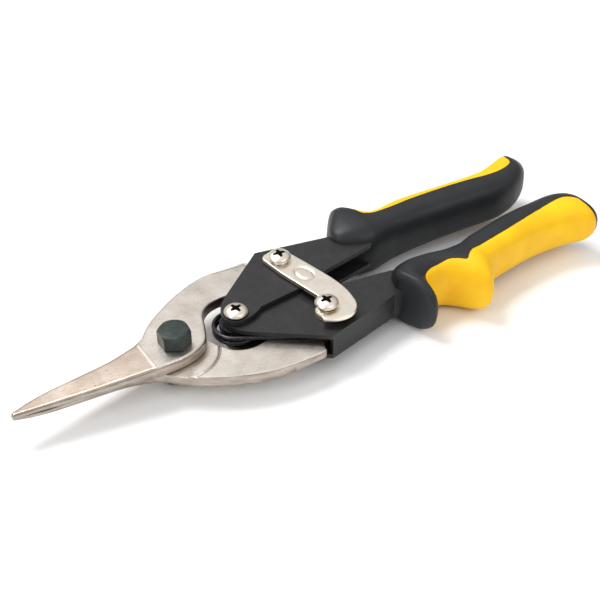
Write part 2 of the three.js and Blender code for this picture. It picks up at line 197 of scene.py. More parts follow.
def plate(name, outline, holes, top, bottom, rings, extra=(), step=0.7, grid=3.0, place=FAR, smooth=35):
    """A closed body over the outline. top and bottom give heights from points, edge distance, nearest
    edge point and the index of the loop it lies on (0 is the outline)."""
    loops = [resample(outline, step)] + [resample(h, step) for h in holes]
    border = [p for loop in loops for p in loop]
    edges, start = [], 0
    for loop in loops:
        edges += [(start + i, start + (i + 1) % len(loop)) for i in range(len(loop))]
        start += len(loop)
    inner = []
    for loop in loops:
        a = np.array(loop, float)
        tangent = np.roll(a, -1, axis=0) - np.roll(a, 1, axis=0)
        normal = np.stack([-tangent[:, 1], tangent[:, 0]], 1)
        normal /= np.maximum(np.hypot(*normal.T), 1e-9)[:, None]
        area = 0.5 * np.sum(a[:, 0] * np.roll(a[:, 1], -1) - np.roll(a[:, 0], -1) * a[:, 1])
        sign = (1 if area > 0 else -1) * (1 if loop is loops[0] else -1)
        for ring in rings:
            pts = a + normal * ring * sign
            dist, _, _ = edge_distance(pts, loops)
            inner += [tuple(q) for q, d in zip(pts, dist) if d > ring * 0.93]
    a = np.array(loops[0])
    low, high = a.min(0), a.max(0)
    gx, gy = np.meshgrid(np.arange(low[0], high[0], grid), np.arange(low[1], high[1], grid * 0.87))
    gx = gx + (np.arange(gx.shape[0]) % 2)[:, None] * grid / 2
    lattice = np.stack([gx.ravel(), gy.ravel()], 1)
    dist, _, _ = edge_distance(lattice, loops)
    inner += [tuple(q) for q, d in zip(lattice, dist) if d > rings[-1] + grid * 0.3]
    extra = np.array(extra, float).reshape(-1, 2)
    if len(extra):
        dist, _, _ = edge_distance(extra, loops)
        inner += [tuple(q) for q, d in zip(extra, dist) if d > 0.12]
    inner = np.array(inner)
    keep = inside(inner, loops[0])
    for loop in loops[1:]:
        keep &= ~inside(inner, loop)
    inner = [tuple(q) for q in inner[keep]]
    points = [Vector(p) for p in border + inner]
    verts, _, tris, _, _, _ = delaunay_2d_cdt(points, edges, [], 0, 1e-5)
    xy = np.array([tuple(v) for v in verts])
    centres = np.array([xy[list(t)].mean(0) for t in tris])
    keep = inside(centres, loops[0])
    for loop in loops[1:]:
        keep &= ~inside(centres, loop)
    tris = [t for t, k in zip(tris, keep) if k]
    dist, near, which = edge_distance(xy, loops)
    heights = top(xy, dist, near, which), bottom(xy, dist, near, which)
    n = len(xy)
    vertices = [(x, y, z) for face in heights for (x, y), z in zip(xy, face)]
    faces = [tuple(t) for t in tris] + [tuple(i + n for i in reversed(t)) for t in tris]
    directed = [(t[i], t[(i + 1) % 3]) for t in tris for i in range(3)]
    known = set(directed)
    faces += [(b, a, a + n, b + n) for a, b in directed if (b, a) not in known]
    return add_object(name, vertices, faces, place, smooth)


def rounding(dist, radius):
    """How far below a flat face a rounded edge lies at a distance from the outline."""
    radius = np.maximum(radius, 1e-6)
    d = np.clip(dist, 0, radius)
    return radius - np.sqrt(np.maximum(radius**2 - (radius - d) ** 2, 0))


def ease(low, high, value):
    t = np.clip((value - low) / (high - low), 0, 1)
    return t * t * (3 - 2 * t)


# ---------------------------------------------------------------- materials
def material(name, build):
    mat = bpy.data.materials.new(name)
    mat.use_nodes = True
    tree = mat.node_tree
    shader = tree.nodes["Principled BSDF"]
    build(tree, shader)
    return mat


def node(tree, kind, **values):
    made = tree.nodes.new(kind)
    for key, value in values.items():
        if key in made.inputs:
            made.inputs[key].default_value = value
        else:
            setattr(made, key, value)
    return made


def noise(tree, scale, detail=3, stretch=(1, 1, 1), rough=0.5):
    """Noise in the object's own frame: scale is cells per millimetre."""
    coord = node(tree, "ShaderNodeTexCoord")
    mapping = node(tree, "ShaderNodeMapping")
    mapping.inputs["Scale"].default_value = [s * 1000 for s in stretch]
    tree.links.new(coord.outputs["Object"], mapping.inputs["Vector"])
    made = node(tree, "ShaderNodeTexNoise", Scale=scale, Detail=detail, Roughness=rough)
    tree.links.new(mapping.outputs["Vector"], made.inputs["Vector"])
    return made.outputs["Fac"]


def ramp(tree, source, stops):
    made = node(tree, "ShaderNodeValToRGB")
    elements = made.color_ramp.elements
    while len(elements) < len(stops):
        elements.new(0.5)
    for element, (position, colour) in zip(elements, stops):
        element.position = position
        element.color = (*colour, 1) if len(colour) == 3 else (colour[0],) * 3 + (1,)
    tree.links.new(source, made.inputs["Fac"])
    return made.outputs["Color"]


def bump(tree, shader, source, distance, strength=1.0):
    made = node(tree, "ShaderNodeBump", Strength=strength, Distance=distance * MM)
    tree.links.new(source, made.inputs["Height"])
    tree.links.new(made.outputs["Normal"], shader.inputs["Normal"])
    return made


def blade_steel(tree, shader):
    shader.inputs["Metallic"].default_value = 1.0
    cloud = noise(tree, 0.12, 4)
    base = ramp(tree, cloud, [(0.3, (0.66, 0.585, 0.51)), (0.7, (0.84, 0.79, 0.73))])
    pits = noise(tree, 1.1, 2, rough=0.7)
    spots = ramp(tree, pits, [(0.66, (1, 1, 1)), (0.74, (0.35, 0.3, 0.25))])
    mix = node(tree, "ShaderNodeMix", data_type="RGBA", blend_type="MULTIPLY")
    mix.inputs["Factor"].default_value = 0.85
    tree.links.new(base, mix.inputs["A"])
    tree.links.new(spots, mix.inputs["B"])
    # painted shade: the jaw is darkened, most at the tip, for the shade on its top face that slopes down
    # to the tip
    coord = node(tree, "ShaderNodeTexCoord")
    split = node(tree, "ShaderNodeSeparateXYZ")
    tree.links.new(coord.outputs["Object"], split.inputs["Vector"])
    along = node(tree, "ShaderNodeMapRange")
    along.inputs["From Min"].default_value = -0.064
    along.inputs["From Max"].default_value = 0.0
    tree.links.new(split.outputs["X"], along.inputs["Value"])
    tip, middle, root, lobe = (0.5, 0.44, 0.41), (0.66, 0.59, 0.54), (0.6, 0.54, 0.5), (1, 1, 1)
    jaw = ramp(tree, along.outputs["Result"], [(0.0, tip), (0.35, middle), (0.79, root), (0.83, lobe)])
    shade = node(tree, "ShaderNodeMix", data_type="RGBA", blend_type="MULTIPLY")
    shade.inputs["Factor"].default_value = 1.0
    tree.links.new(mix.outputs["Result"], shade.inputs["A"])
    tree.links.new(jaw, shade.inputs["B"])
    tree.links.new(shade.outputs["Result"], shader.inputs["Base Color"])
    brushed = noise(tree, 1.0, 3, stretch=(0.35, 4, 1))
    rough = ramp(tree, brushed, [(0.25, (0.24,)), (0.75, (0.4,))])
    tree.links.new(rough, shader.inputs["Roughness"])
    bump(tree, shader, brushed, 0.012)


# painted shade: a darker copy of the blade steel for the side faces, standing in for the shadowed floor
# they reflect
def shaded_blade_side(tree, shader):
    shader.inputs["Metallic"].default_value = 1.0
    streak = noise(tree, 0.3, 3, stretch=(0.5, 0.5, 2.5))
    base = ramp(tree, streak, [(0.3, (0.3, 0.25, 0.215)), (0.7, (0.5, 0.44, 0.385))])
    tree.links.new(base, shader.inputs["Base Color"])
    rough = ramp(tree, streak, [(0.25, (0.26,)), (0.75, (0.42,))])
    tree.links.new(rough, shader.inputs["Roughness"])
    bump(tree, shader, streak, 0.02)


def nickel(tree, shader):
    shader.inputs["Metallic"].default_value = 1.0
    cloud = noise(tree, 0.25, 3)
    base = ramp(tree, cloud, [(0.3, (0.86, 0.76, 0.64)), (0.7, (0.93, 0.87, 0.78))])
    tree.links.new(base, shader.inputs["Base Color"])
    fine = noise(tree, 1.2, 2)
    rough = ramp(tree, fine, [(0.3, (0.3,)), (0.7, (0.38,))])
    tree.links.new(rough, shader.inputs["Roughness"])
    bump(tree, shader, fine, 0.003)


# painted shade: a near-black material for the walls and floor of the screws' cross recess, for the shade
# inside it
def recess(tree, shader):
    shader.inputs["Metallic"].default_value = 0.6
    fine = noise(tree, 2.5, 3)
    base = ramp(tree, fine, [(0.3, (0.006, 0.006, 0.006)), (0.7, (0.02, 0.019, 0.018))])
    tree.links.new(base, shader.inputs["Base Color"])
    shader.inputs["Roughness"].default_value = 0.7


def black_oxide(tree, shader):
    shader.inputs["Metallic"].default_value = 0.4
    cloud = noise(tree, 0.5, 3)
    base = ramp(tree, cloud, [(0.3, (0.022, 0.03, 0.028)), (0.7, (0.04, 0.052, 0.048))])
    tree.links.new(base, shader.inputs["Base Color"])
    fine = noise(tree, 2.0, 3)
    rough = ramp(tree, fine, [(0.3, (0.38,)), (0.7, (0.52,))])
    tree.links.new(rough, shader.inputs["Roughness"])
    bump(tree, shader, fine, 0.02)


def black_paint(tree, shader):
    cloud = noise(tree, 0.3, 2)
    base = ramp(tree, cloud, [(0.3, (0.011, 0.011, 0.012)), (0.7, (0.018, 0.018, 0.0185))])
    tree.links.new(base, shader.inputs["Base Color"])
    shader.inputs["Coat Weight"].default_value = 0.15
    shader.inputs["Coat Roughness"].default_value = 0.25
    shader.inputs["Specular IOR Level"].default_value = 0.35
    fine = noise(tree, 1.2, 3)
    rough = ramp(tree, fine, [(0.3, (0.4,)), (0.7, (0.52,))])
    tree.links.new(rough, shader.inputs["Roughness"])
    bump(tree, shader, fine, 0.02)


def spring_steel(tree, shader):
    shader.inputs["Metallic"].default_value = 0.9
    fine = noise(tree, 1.5, 3)
    base = ramp(tree, fine, [(0.3, (0.03, 0.03, 0.034)), (0.7, (0.07, 0.07, 0.078))])
    tree.links.new(base, shader.inputs["Base Color"])
    rough = ramp(tree, fine, [(0.3, (0.25,)), (0.7, (0.4,))])
    tree.links.new(rough, shader.inputs["Roughness"])


def moulded(dark, light, low, high):
    def build(tree, shader):
        cloud = noise(tree, 0.08, 2)
        base = ramp(tree, cloud, [(0.3, dark), (0.7, light)])
        tree.links.new(base, shader.inputs["Base Color"])
        shader.inputs["Specular IOR Level"].default_value = 0.35
        fine = noise(tree, 3.0, 2, rough=0.6)
        rough = ramp(tree, fine, [(0.3, (low,)), (0.7, (high,))])
        tree.links.new(rough, shader.inputs["Roughness"])
        bump(tree, shader, fine, 0.03)

    return build


MATERIALS = {
    "blade_steel": material("blade_steel", blade_steel),
    "shaded_blade_side": material("shaded_blade_side", shaded_blade_side),
    "nickel": material("nickel", nickel),
    "recess": material("recess", recess),
    "black_oxide": material("black_oxide", black_oxide),
    "black_paint": material("black_paint", black_paint),
    "spring_steel": material("spring_steel", spring_steel),
    "black_grip": material("black_grip", moulded((0.012, 0.0135, 0.015), (0.018, 0.02, 0.022), 0.4, 0.5)),
    "yellow_grip": material("yellow_grip", moulded((0.93, 0.5, 0.0), (1.0, 0.6, 0.0), 0.42, 0.52)),
}


def finish(obj, slot, body, *replaced):
    obj.data.materials.clear()
    obj.data.materials.append(MATERIALS[slot])
    if body:
        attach(obj, body)
    if replaced:
        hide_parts(*replaced)
    return obj


# ---------------------------------------------------------------- blades
BLADE_OUTER = 4.55
TAIL_INNER = -0.55
RECESS_RADIUS = 16.0
RECESS_STEP = 0.7
JAW_ROOT_X = -12.4


def blade_top(xy, dist, near, which):
    """Outer face: flat round the pivot, sloping down along the jaw, with rounded edges."""
    x = xy[:, 0]
    z = np.full(len(xy), BLADE_OUTER)
    jaw_top = np.interp(x, [-64, -46, -30, JAW_ROOT_X], [1.75, 2.45, 3.2, 4.5])
    z = np.where(x < JAW_ROOT_X, jaw_top, z)
    lobe = rounding(dist, 1.1)
    tail_chamfer = ease(24, 44, near[:, 0]) * (near[:, 1] > 26)
    chamfer = np.clip((0.6 + 2.6 * tail_chamfer - dist) * 0.62, 0, None) * (tail_chamfer > 0)
    jaw_round = rounding(dist, np.interp(x, [-64, -20], [0.8, 1.3]))
    hole = rounding(dist, 0.4)
    drop = np.where(which > 0, hole, np.where(x < -13, jaw_round, np.maximum(lobe, chamfer)))
    return z - drop


def blade_bottom(xy, dist, near, which):
    """Inner face: ground back round the pivot and along the jaw, with a groove where the step ends."""
    radius = np.hypot(xy[:, 0], xy[:, 1])
    recess = np.maximum(ease(RECESS_RADIUS, RECESS_RADIUS - 0.5, radius), ease(-2.4, -2.6, xy[:, 0]))
    groove = np.exp(-(((radius - RECESS_RADIUS - 0.5) / 0.35) ** 2)) * (xy[:, 0] > -2)
    z = TAIL_INNER + RECESS_STEP * recess + 0.5 * groove
    tail = ease(10, 18, xy[:, 0])
    return z + rounding(dist, 0.15 + 0.55 * tail)


def forged_blade(name, body, node_name, place, bore):
    """One blade. The extra points follow the step, the jaw's root and the edge of the ground face."""
    extra = []
    for offset in (-0.65, -0.5, -0.4, -0.25, -0.1, 0, 0.15, 0.3, 0.5, 0.7, 0.9, 1.2, 1.5):
        extra += circle((0, 0), RECESS_RADIUS + offset, 200)
    for x in (-11.9, -12.2, -12.45, -12.7, -12.95, -13.2, -13.6, -13.9):
        extra += [(x, y) for y in np.arange(-11, 12, 0.5)]
    extra += [(x, y) for x in (-2.3, -2.4, -2.5, -2.6, -2.7) for y in np.arange(-15, 25, 0.5)]
    obj = plate(
        name, blade_outline(), [circle((0, 0), bore, 40), circle(LINK, 2.8, 32)], blade_top, blade_bottom,
        (0.08, 0.2, 0.4, 0.65, 0.9, 1.15, 1.5, 2.1, 2.8, 3.6), extra, step=0.6, grid=2.2, place=place,
    )
    finish(obj, "blade_steel", body, node_name)
    # the steep side faces take the darker steel copy: painted shade
    obj.data.materials.append(MATERIALS["shaded_blade_side"])
    for polygon in obj.data.polygons:
        polygon.material_index = int(abs(polygon.normal.z) < 0.75)
    return obj


forged_blade("upper_blade_forged", "upper_blade", "upper_blade", FAR, 4.2)
forged_blade("lower_blade_forged", "lower_blade", "lower_blade", NEAR, 4.7)


# ---------------------------------------------------------------- latch
LATCH_LOW, LATCH_HIGH = 7.0, 8.9
OVAL = (59.2, 4.5)  # centre of the pressed oval ring
OVAL_SIZE = (3.0, 4.2)
OVAL_COS, OVAL_SIN = 0.985, 0.17  # the ring is turned with the plate


def latch_top(xy, dist, near, which):
    x, y = xy[:, 0] - OVAL[0], xy[:, 1] - OVAL[1]
    u = x * OVAL_COS + y * OVAL_SIN
    v = -x * OVAL_SIN + y * OVAL_COS
    oval = np.hypot(u / OVAL_SIZE[0], v / OVAL_SIZE[1])
    ring = np.exp(-(((oval - 1) * 3.4 / 0.4) ** 2))
    return LATCH_HIGH - rounding(dist, 0.4) - 0.34 * ring


def latch():
    extra = []
    for share in np.linspace(0.78, 1.22, 12):
        for a in np.linspace(0, 2 * math.pi, 72, endpoint=False):
            u, v = OVAL_SIZE[0] * share * math.cos(a), OVAL_SIZE[1] * share * math.sin(a)
            extra.append((OVAL[0] + OVAL_COS * u - OVAL_SIN * v, OVAL[1] + OVAL_SIN * u + OVAL_COS * v))
    obj = plate(
        "latch_plate_stamped", latch_outline(), [circle(LINK, 2.8, 32)], latch_top,
        lambda xy, dist, near, which: LATCH_LOW + rounding(dist, 0.3),
        (0.07, 0.18, 0.33, 0.5, 0.9), extra, step=0.5, grid=1.6, smooth=60,
    )
    return finish(obj, "nickel", "latch", "latch_plate")


latch()


# ---------------------------------------------------------------- screws and bolt
def lathe_part(sections, sides, centre):
    vertices, faces = [], []
    for radius, height in sections:
        vertices += [
            (centre[0] + radius * math.cos(a), centre[1] + radius * math.sin(a), height)
            for a in np.linspace(0, 2 * math.pi, sides, endpoint=False)
        ]
    for k in range(len(sections) - 1):
        for i in range(sides):
            j = (i + 1) % sides
            faces.append((k * sides + i, k * sides + j, (k + 1) * sides + j, (k + 1) * sides + i))
    return vertices, faces


def pan_screw(name, body, node_name, centre, seat, tip, turn):
    """Pan head with a cross recess, and a plain shank with a chamfered end."""
    radius, height, rim, shank, sides = 4.6, 2.4, 0.55, 2.5, 64
    recess_depth, recess_taper = 1.7, 0.62

    def dome(x, y):
        r = math.hypot(x - centre[0], y - centre[1]) / radius
        return seat + rim + (height - rim) * (1 - r**2.6) ** 0.55 if r < 1 else seat + rim

    arm, half, flare = 2.5, 0.5, 0.85
    cross = []
    for k in range(4):
        a = math.radians(turn + 90 * k)
        c, s = math.cos(a), math.sin(a)
        for u, v in ((flare, -flare), (arm, -half), (arm, half)):
            cross.append((centre[0] + c * u - s * v, centre[1] + s * u + c * v))
    loop = circle(centre, radius, sides)
    cross_points = resample(cross, 0.3)
    rings = [p for r in (4.5, 4.3, 4.0, 3.6, 3.1, 2.6, 2.1, 1.6, 1.1) for p in circle(centre, r, 44)]
    keep = ~inside(np.array(rings), cross_points)
    border = loop + cross_points
    edges = [(i, (i + 1) % sides) for i in range(sides)]
    edges += [(sides + i, sides + (i + 1) % len(cross_points)) for i in range(len(cross_points))]
    points = [Vector(p) for p in border + [q for q, k in zip(rings, keep) if k]]
    verts, _, tris, _, _, _ = delaunay_2d_cdt(points, edges, [], 0, 1e-5)
    xy = [tuple(v) for v in verts]
    centres = np.array([np.mean([xy[i] for i in t], axis=0) for t in tris])
    hole = inside(centres, cross_points)
    top = [t for t, h in zip(tris, hole) if not h]
    vertices = [(x, y, dome(x, y)) for x, y in xy]
    faces = [tuple(t) for t in top]
    # the recess: walls that taper in, and a floor
    base = len(vertices)
    count = len(cross_points)
    for x, y in cross_points:
        dx, dy = x - centre[0], y - centre[1]
        x, y = centre[0] + dx * recess_taper, centre[1] + dy * recess_taper
        vertices.append((x, y, seat + height - recess_depth))
    for i in range(count):
        j = (i + 1) % count
        faces.append((sides + i, sides + j, base + j, base + i))
    faces.append(tuple(base + i for i in range(count)))
    recess_faces = range(len(top), len(faces))
    # the rim, underside and shank
    ring_start = len(vertices)
    lathe, lathe_faces = lathe_part(
        [
            (radius, seat + rim), (radius - 0.12, seat + 0.15), (radius - 0.35, seat),
            (shank, seat), (shank, tip + 0.5), (shank - 0.5, tip),
        ],
        sides, centre,
    )
    vertices += lathe
    faces += [tuple(ring_start + i for i in f) for f in lathe_faces]
    faces.append(tuple(ring_start + 5 * sides + i for i in range(sides)))
    obj = add_object(name, vertices, faces, FAR, 40)
    finish(obj, "nickel", body, node_name)
    # the recess walls and floor take the near-black material: painted shade
    obj.data.materials.append(MATERIALS["recess"])
    for index in recess_faces:
        obj.data.polygons[index].material_index = 1
    return obj


pan_screw("handle_pivot_pan_screw", "near_handle", "handle_pivot_screw", PIVOT, 7.0, -11.4, 12)
pan_screw("far_link_pan_screw", "far_handle", "far_link_screw", LINK, 10.0, -9.2, -8)
pan_screw("near_link_pan_screw", "near_handle", "near_link_screw", (LINK[0], -LINK[1]), 10.0, -11.4, 5)


def pivot_bolt():
    """Hexagon head with a turned chamfer, a shouldered shank and a chamfered end."""
    sides, corner, half_across = 96, math.radians(28.2), 5.5
    angles = [corner + 2 * math.pi * i / sides for i in range(sides)]
    flat = [half_across / math.cos((a - corner) % (math.pi / 3) - math.pi / 6) for a in angles]
    head = [(4.8, 9), (9.7, 9), (10.05, 6.25), (10.4, 6.0), (10.7, 5.6), (10.85, 5.25), (10.9, 4.9)]
    shank = [(-12.5, 2.7), (-11.9, 3.2), (-4.55, 3.2), (-4.55, 3.9), (4.8, 3.9)]
    vertices, faces = [], []
    for z, radius in shank + head:
        for a, limit in zip(angles, flat):
            r = min(limit, radius)
            vertices.append((r * math.cos(a), r * math.sin(a), z))
    rows = len(vertices) // sides
    for k in range(rows - 1):
        for i in range(sides):
            j = (i + 1) % sides
            faces.append((k * sides + i, k * sides + j, (k + 1) * sides + j, (k + 1) * sides + i))
    faces.append(tuple(range(sides))[::-1])
    faces.append(tuple((rows - 1) * sides + i for i in range(sides)))
    obj = add_object("pivot_bolt_hex", vertices, faces, FAR, 28)
    return finish(obj, "black_oxide", "upper_blade", "pivot_bolt")


pivot_bolt()


# ---------------------------------------------------------------- torsion spring
def torsion_spring():
    radius, wire, rise, coil_steps, leg_steps = 8.7, 0.85, 1.575, 120, 12
    leg = (50.0, 23.4)
    reach = math.dist(leg, PIVOT)
    tangent = math.atan2(leg[1], leg[0] - PIVOT[0]) + math.acos(radius / reach)
    sweep = 4 * math.pi - 2 * tangent

    def on_coil(angle, z):
        return Vector((PIVOT[0] + radius * math.cos(angle), radius * math.sin(angle), z))

    path = [Vector((leg[0], leg[1], -rise))]
    first = on_coil(tangent, -rise)
    path += [path[0].lerp(first, k / leg_steps) for k in range(1, leg_steps)]
    for k in range(coil_steps + 1):
        path.append(on_coil(tangent + sweep * k / coil_steps, rise * (2 * k / coil_steps - 1)))
    last = path[-1]
    end = Vector((leg[0], -leg[1], rise))
    path += [last.lerp(end, k / leg_steps) for k in range(1, leg_steps + 1)]
    sides, vertices, faces = 14, [], []
    for k, p in enumerate(path):
        t = (path[min(k + 1, len(path) - 1)] - path[max(k - 1, 0)]).normalized()
        side = t.cross(Vector((0, 0, 1))).normalized()
        up = side.cross(t)
        for i in range(sides):
            a = 2 * math.pi * i / sides
            vertices.append(p + wire * (side * math.cos(a) + up * math.sin(a)))
    for k in range(len(path) - 1):
        for i in range(sides):
            j = (i + 1) % sides
            faces.append((k * sides + i, k * sides + j, (k + 1) * sides + j, (k + 1) * sides + i))
    faces.append(tuple(range(sides))[::-1])
    faces.append(tuple((len(path) - 1) * sides + i for i in range(sides)))
    obj = add_object("torsion_spring_wire", vertices, faces, FAR, 50)
    finish(obj, "spring_steel", None, "torsion_spring")
    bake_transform(obj)
    return obj


torsion_spring()


# ---------------------------------------------------------------- grips
# Curves against x: the y of the section's inner and outer sides, half its height, how square it is
# (2 is an ellipse), and the y from which the pad covers it. Both grips have a flange at the front, and
# only the near one has a crest ahead of the palm.
NEAR_GRIP = {
    "inner": [
        (87, 16), (88, 13.6), (90.2, 11), (93, 9.2), (96, 8.2), (102, 8.6), (110, 9.6), (120, 9.6),
        (130, 8.4), (140, 6.8), (150, 5.2), (160, 4.4), (168, 4.6), (175, 5.8), (181, 8.6), (184.5, 12.8),
        (186, 19),
    ],
    "outer": [
        (87, 19.5), (88, 22.6), (89.4, 26.4), (90.8, 30.8), (92.2, 34.6), (93.6, 35.6), (95, 34.8),
        (96.4, 31.8), (98.4, 27.6), (101, 24.8), (104, 24.2), (107, 25.2), (110, 28), (113, 32),
        (116, 36), (119, 37.8), (121.5, 36), (124, 31.4), (127, 27.6), (132, 25.6), (140, 24.4),
        (150, 23.2), (160, 22.8), (168, 23.8), (175, 26), (180, 28), (183, 27.8), (185, 25.2), (186, 19),
    ],
    "half": [
        (87, 9.8), (88, 10.8), (91, 12), (96, 12.2), (104, 11.4), (112, 12), (119, 12.4), (126, 10.8),
        (140, 10.3), (160, 10.2), (172, 10.4), (178, 9.8), (182, 8.2), (184.5, 5.6), (185.7, 2.6),
        (186, 0.6),
    ],
    "square": [
        (87, 2.8), (90, 2.4), (96, 2.3), (104, 2.6), (113, 2.2), (122, 2.2), (130, 2.6), (186, 2.6),
    ],
    "pad_top": [
        (97, 29), (97.6, 26.8), (98.8, 24.2), (100.8, 22), (104, 20.8), (109, 21), (113, 23.2),
        (115.5, 25.6), (117.5, 24), (121, 21.8), (128, 20), (142, 17.8), (151, 16.2), (162, 14.4),
        (170, 13.8), (174, 14), (177, 15), (179, 16.6), (180.6, 18.8), (181.7, 21.4), (182.4, 25),
    ],
    "front": 87.0,
    "lean": 3.2,
    "pad_end": 182.4,
    "end": 186.0,
    "up": -1,
}
FAR_GRIP = {
    "inner": [
        (81.6, 15.5), (84, 13.2), (88, 10.8), (92, 8.8), (96, 8.2), (102, 9), (110, 10.2), (120, 10.2),
        (130, 9.6), (140, 8.8), (150, 8), (160, 7.4), (168, 8.2), (173, 9.8), (178, 12.8), (182, 17),
        (184, 22),
    ],
    "outer": [
        (81.6, 22), (83, 25), (86, 29.4), (89, 33.4), (92, 36.4), (94, 36.6), (96, 35.2), (98, 32.4),
        (101, 28.8), (104, 26.8), (108, 26.8), (113, 27.8), (119, 28.2), (126, 27.8), (134, 27),
        (142, 26.2), (152, 25.6), (160, 25.6), (168, 26.8), (174, 28.6), (179, 29.4), (182.2, 27.8),
        (184, 22),
    ],
    "half": [
        (81.6, 9), (84, 10.2), (90, 11.9), (96, 12.4), (104, 11.4), (112, 11), (119, 10.8), (126, 10.6),
        (140, 10.3), (160, 10.2), (168, 10.2), (174, 9.6), (179, 8), (182, 5.4), (183.6, 2.4), (184, 0.6),
    ],
    "square": [
        (81.6, 2.8), (90, 2.9), (98, 2.9), (106, 2.6), (184, 2.6),
    ],
    "pad_top": [
        (97, 24), (99, 22.4), (104, 21.2), (113, 21), (121, 21.2), (128, 21), (142, 20), (151, 19),
        (162, 17.4), (168, 17), (171, 17.4), (174, 18.8), (176, 20.8), (177.4, 23.4), (178, 26),
    ],
    "front": 81.6,
    "lean": 0.6,
    "pad_end": 178.0,
    "end": 184.0,
    "up": 1,
}
PAD_START = 97.2
PAD_START_ROUNDING, PAD_END_ROUNDING = 2, 3


def curve(table, x):
    """Smooth interpolation of a table (monotone in each span)."""
    xs, ys = np.array(table, float).T
    h = np.diff(xs)
    slope = np.diff(ys) / h
    m = np.zeros(len(xs))
    m[0], m[-1] = slope[0], slope[-1]
    for i in range(1, len(xs) - 1):
        if slope[i - 1] * slope[i] > 0:
            w1, w2 = 2 * h[i] + h[i - 1], h[i] + 2 * h[i - 1]
            m[i] = (w1 + w2) / (w1 / slope[i - 1] + w2 / slope[i])
    k = np.clip(np.searchsorted(xs, x) - 1, 0, len(xs) - 2)
    t = (np.clip(x, xs[0], xs[-1]) - xs[k]) / h[k]
    a, b = ys[k], ys[k + 1]
    return (
        (2 * t**3 - 3 * t**2 + 1) * a + (t**3 - 2 * t**2 + t) * h[k] * m[k]
        + (-2 * t**3 + 3 * t**2) * b + (t**3 - t**2) * h[k] * m[k + 1]
    )


def section(shape, x, count=720):
    """The grip's section at x: points (y, z) all round, from the middle of the outer side."""
    inner, outer, half = curve(shape["inner"], x), curve(shape["outer"], x), curve(shape["half"], x)
    middle, width = (inner + outer) / 2, (outer - inner) / 2
    t = np.linspace(0, 2 * math.pi, count, endpoint=False)
    power = 2 / curve(shape["square"], x)
    c, s = np.cos(t), np.sin(t)
    y = middle + width * np.sign(c) * np.abs(c) ** power
    z = half * np.sign(s) * np.abs(s) ** power
    return y, z, middle, half


def lift(shape, x):
    """The palms rise a little towards their ends."""
    return shape["up"] * (1.2 * ease(105, 150, x) + 1.8 * ease(160, 182, x))


def lean(shape, x, y):
    """The flange may lean forward towards its inner side: x of a point, moved to suit."""
    return x - shape["lean"] * ease(87.5, 97, x) * ease(110, 97, x) * np.clip((33 - y) / 12, 0, 1)


def pad_edge(shape, x, y, z, half):
    """Index of the point on the upper half of a section where the pad ends, or 0 where there is no pad."""
    end = shape["pad_end"]
    if x <= PAD_START or x >= end:
        return 0
    limit = curve(shape["pad_top"], x)
    from_start = min(1, (x - PAD_START) / PAD_START_ROUNDING)
    from_end = min(1, (end - x) / PAD_END_ROUNDING)
    top = half * 1.02 * math.sqrt(1 - (1 - min(from_start, from_end)) ** 2)
    upper = np.arange(len(y) // 2)
    good = (y[upper] >= limit) & (z[upper] <= top)
    stop = np.argmin(good) if not good.all() else len(upper)
    return int(stop)


def by_length(y, z, count, first, last):
    """count + 1 points evenly spaced along a closed section, between two fractional indices."""
    n = len(y)
    index = np.arange(first, last + 1e-9, 1.0)
    yy, zz = y[index.astype(int) % n], z[index.astype(int) % n]
    length = np.concatenate([[0], np.cumsum(np.hypot(np.diff(yy), np.diff(zz)))])
    if length[-1] < 1e-9:
        return np.repeat(yy[:1], count + 1), np.repeat(zz[:1], count + 1), length[-1]
    at = np.linspace(0, length[-1], count + 1)
    return np.interp(at, length, yy), np.interp(at, length, zz), length[-1]


def stations(shape):
    """Where the sections are taken along x: close together where the grip or its pad begins and ends."""
    front, pad_end, end = shape["front"], shape["pad_end"], shape["end"]
    xs = [front, front + 0.3, front + 0.8, front + 1.5] + list(np.arange(front + 2.2, 97, 0.6))
    xs += [97.2, 97.25, 97.4, 97.7, 98.1, 98.7, 99.4, 100.2] + list(np.arange(101, pad_end - 10, 1.0))
    closing = [9.4, 8.6, 7.8, 7, 6.2, 5.4, 4.6, 3.9, 3.3, 2.7, 2.1, 1.6, 1.2, 0.8, 0.5, 0.25, 0.1, 0.03, 0]
    xs += list(pad_end - np.array(closing))
    xs += list(end - np.array([2.0, 1.6, 1.2, 0.8, 0.5, 0.3, 0.15, 0.05, 0.0]))
    return [float(x) for x in xs]


def shrink(y, z, amount):
    """Move the points of a section inwards by about amount."""
    cy = np.mean(y)
    ty, tz = np.roll(y, -1) - np.roll(y, 1), np.roll(z, -1) - np.roll(z, 1)
    size = np.maximum(np.hypot(ty, tz), 1e-9)
    ny, nz = tz / size, -ty / size
    flip = np.sign((y - cy) * ny + z * nz)
    flip[flip == 0] = 1
    return y - ny * flip * amount, z - nz * flip * amount


BLACK_COLUMNS, PAD_COLUMNS = 44, 44
PAD_DEPTH = 1.6
PAD_PROUD = 0.06  # the pad stands a little above the body, and its edge rolls in below it
PAD_EDGE_IN = 0.3


def loft(rows):
    """Vertices and faces of a closed body through rows of points, closed by a fan at each end."""
    width = len(rows[0])
    vertices = [p for row in rows for p in row]
    faces = []
    for r in range(len(rows) - 1):
        for c in range(width):
            d = (c + 1) % width
            faces.append((r * width + c, r * width + d, (r + 1) * width + d, (r + 1) * width + c))
    for r, order in ((0, 1), (len(rows) - 1, -1)):
        centre = np.mean(rows[r], axis=0)
        vertices.append(tuple(centre))
        last = len(vertices) - 1
        for c in range(width):
            faces.append((last, r * width + (c + 1) % width, r * width + c)[::order])
    return vertices, faces


